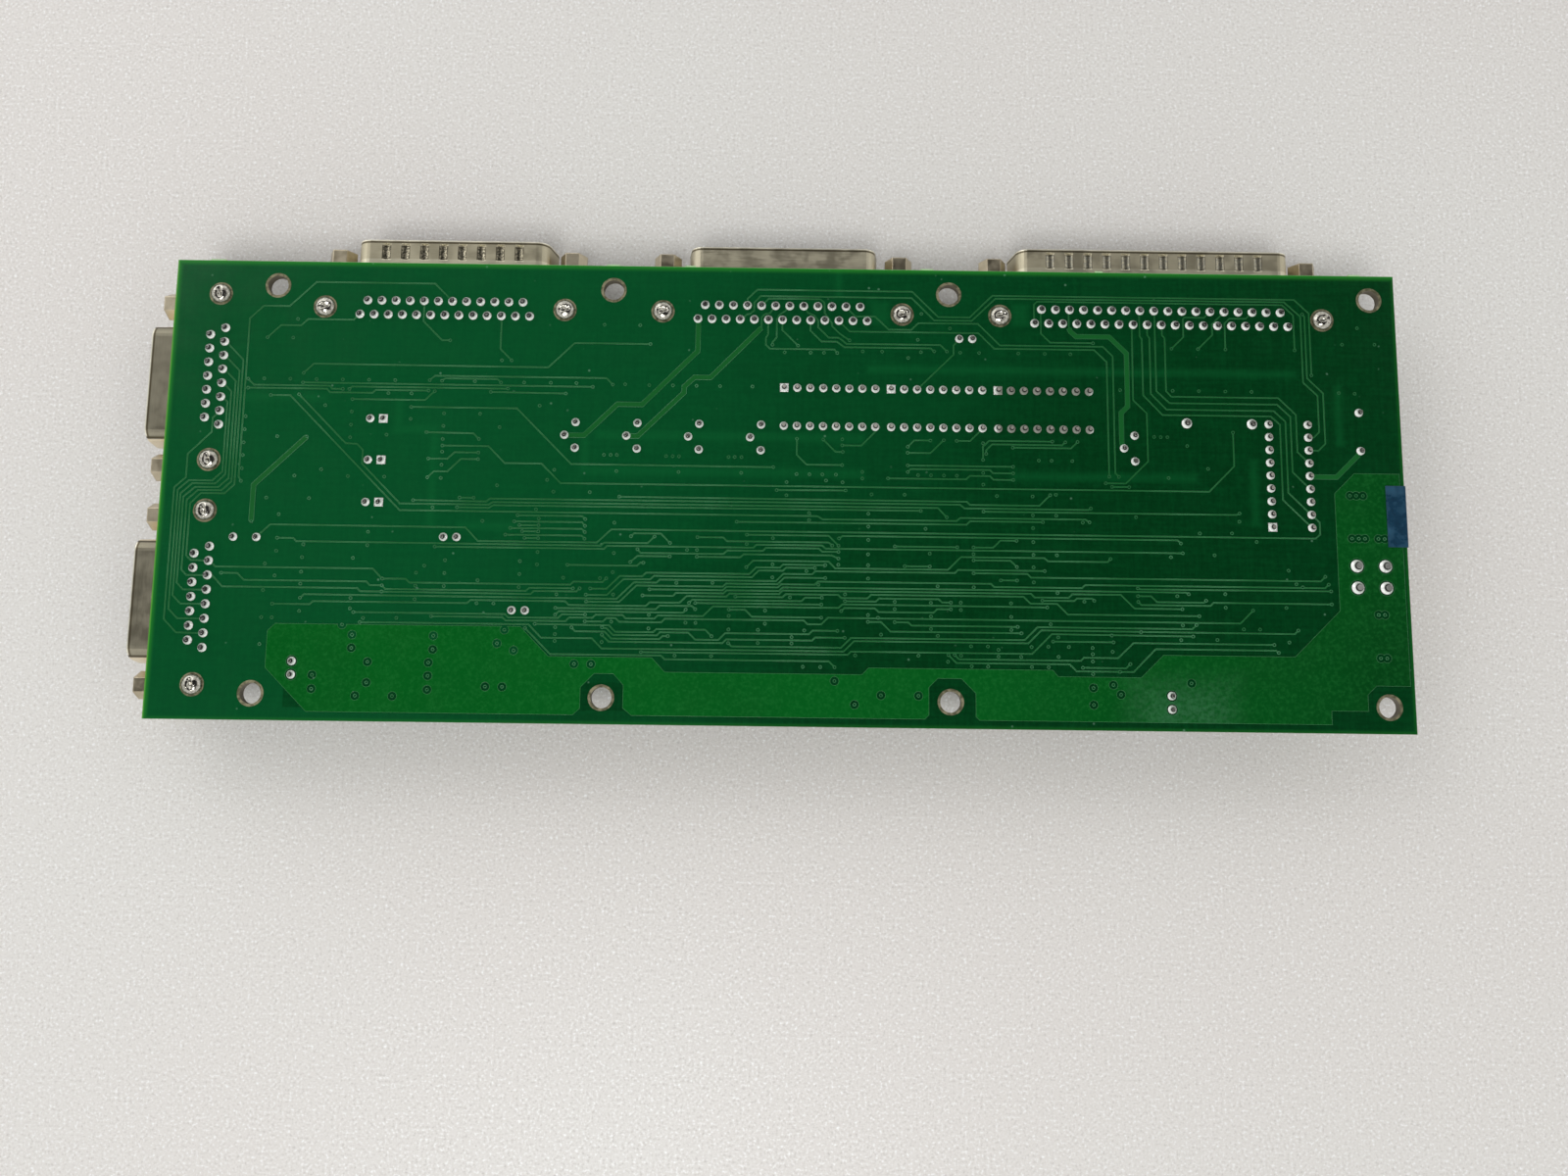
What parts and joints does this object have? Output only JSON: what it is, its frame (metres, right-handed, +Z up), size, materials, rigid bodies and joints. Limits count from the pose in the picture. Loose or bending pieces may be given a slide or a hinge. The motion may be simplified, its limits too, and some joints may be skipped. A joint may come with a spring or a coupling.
{
  "type": "interface board",
  "caption": "Circuit board lying solder side up, with right-angle D-shaped connectors along two edges, socketed chips, leaded parts and copper tracks under a green coat.",
  "frame": {"origin": "middle of the whole part, on the surface that the connector flanges and the power header stand on", "axes": "+X along the long edge away from the two side connectors, +Y out of the three connectors of the long edge, +Z up through the solder side"},
  "size_m": [0.2464, 0.0962, 0.0154],
  "materials": {
    "laminate": "glossy green coat on glass-filled laminate",
    "coated_copper": "copper under the glossy green coat",
    "solder": "bright solder",
    "plated_steel": "warm plated steel",
    "bracket_steel": "plated steel",
    "screw_nickel": "bright nickel plate",
    "lock_metal": "tinned spring metal",
    "connector_plastic": "moulded black insulator",
    "contact_gold": "gold flashed contacts",
    "contact_tin": "tinned bronze contacts",
    "socket_plastic": "moulded black socket",
    "chip_plastic": "moulded epoxy body",
    "transistor_plastic": "moulded epoxy body",
    "can_sleeve": "shrunk sleeve on a metal can",
    "fuse_coat": "dipped resin coat",
    "diode_plastic": "moulded body",
    "resistor_coat": "dipped resin coat",
    "header_plastic": "moulded black block",
    "header_nylon": "natural nylon",
    "power_tin": "tinned brass pins",
    "tape_film": "thin blue film",
    "passive_ceramic": "ceramic with tinned ends"
  },
  "bodies": {
    "root": {"board": "laminate", "ground_copper": "coated_copper", "tracks": "coated_copper", "pin_solder": "solder", "lock_solder": "solder", "angle_brackets": "bracket_steel", "jackscrews": "screw_nickel", "board_locks": "lock_metal", "socket_contacts": "contact_tin", "resettable_fuse": "fuse_coat", "diode": "diode_plastic", "resistor": "resistor_coat", "power_header": "header_nylon", "power_pins": "power_tin", "edge_tape": "tape_film", "surface_chips": "chip_plastic", "surface_metal": "contact_tin", "chip_passives": "passive_ceramic", "plug25_front_shell": "plated_steel", "plug25_rear_shell": "plated_steel", "plug25_insulator": "connector_plastic", "plug25_contacts": "contact_gold", "socket25_front_shell": "plated_steel", "socket25_rear_shell": "plated_steel", "socket25_insulator": "connector_plastic", "socket25_contacts": "contact_gold", "plug37_front_shell": "plated_steel", "plug37_rear_shell": "plated_steel", "plug37_insulator": "connector_plastic", "plug37_contacts": "contact_gold", "socket15_upper_front_shell": "plated_steel", "socket15_upper_rear_shell": "plated_steel", "socket15_upper_insulator": "connector_plastic", "socket15_upper_contacts": "contact_gold", "socket15_lower_front_shell": "plated_steel", "socket15_lower_rear_shell": "plated_steel", "socket15_lower_insulator": "connector_plastic", "socket15_lower_contacts": "contact_gold", "dip16_left_socket": "socket_plastic", "dip16_left_chip": "chip_plastic", "dip16_middle_socket": "socket_plastic", "dip16_middle_chip": "chip_plastic", "dip16_right_socket": "socket_plastic", "dip16_right_chip": "chip_plastic", "dip18_socket": "socket_plastic", "dip18_chip": "chip_plastic", "transistor_1": "transistor_plastic", "capacitor_1": "can_sleeve", "transistor_2": "transistor_plastic", "capacitor_2": "can_sleeve", "transistor_3": "transistor_plastic", "capacitor_3": "can_sleeve", "transistor_4": "transistor_plastic", "capacitor_4": "can_sleeve", "transistor_5": "transistor_plastic", "capacitor_5": "can_sleeve", "jumper_header_1": "header_plastic", "jumper_header_2": "header_plastic", "jumper_header_3": "header_plastic"}
  },
  "joints": []
}
